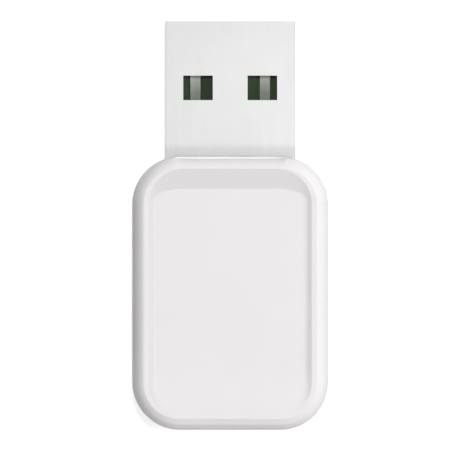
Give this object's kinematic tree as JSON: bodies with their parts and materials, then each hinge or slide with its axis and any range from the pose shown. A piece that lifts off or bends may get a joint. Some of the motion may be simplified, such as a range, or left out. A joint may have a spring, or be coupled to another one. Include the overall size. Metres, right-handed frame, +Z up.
{
  "type": "smart home usb radio stick",
  "caption": "Short white radio stick with a dished upper face, rounded corners and a USB type A plug, for adding a home radio link to a computer or hub.",
  "frame": {"origin": "middle of the stick's outline, on the surface that its back lies on", "axes": "+Y along the stick towards the plug's tip, +Z up out of the dished face, +X across the stick"},
  "size_m": [0.018, 0.0375, 0.0084],
  "materials": {
    "body_white": "satin moulded white plastic",
    "plug_steel": "bright satin plated steel",
    "carrier_black": "matt black moulded plastic",
    "board_green": "dark green solder mask",
    "contact_plating": "plated contact metal",
    "shield_tin": "tinned sheet",
    "chip_black": "matt moulding compound",
    "crystal_metal": "plated lid on ceramic",
    "capacitor_tan": "fired ceramic with tinned ends",
    "resistor_black": "glazed ceramic with tinned ends",
    "ferrite_grey": "fired ferrite",
    "fuse_green": "coated polymer",
    "antenna_ceramic": "white ceramic with tinned ends"
  },
  "bodies": {
    "root": {"top_cover": "body_white", "bottom_cover": "body_white", "plug_shell": "plug_steel", "tongue_carrier": "carrier_black", "circuit_board": "board_green", "contact_power": "contact_plating", "contact_data_minus": "contact_plating", "contact_data_plus": "contact_plating", "contact_ground": "contact_plating", "shield_can": "shield_tin", "radio_chip": "chip_black", "radio_crystal": "crystal_metal", "antenna_matching_parts": "capacitor_tan", "chip_antenna": "antenna_ceramic", "bridge_chip": "chip_black", "voltage_regulator": "chip_black", "surge_protector": "chip_black", "resettable_fuse": "fuse_green", "supply_ferrite": "ferrite_grey", "bulk_capacitors": "capacitor_tan", "decoupling_capacitors": "capacitor_tan", "resistors": "resistor_black"}
  },
  "joints": []
}
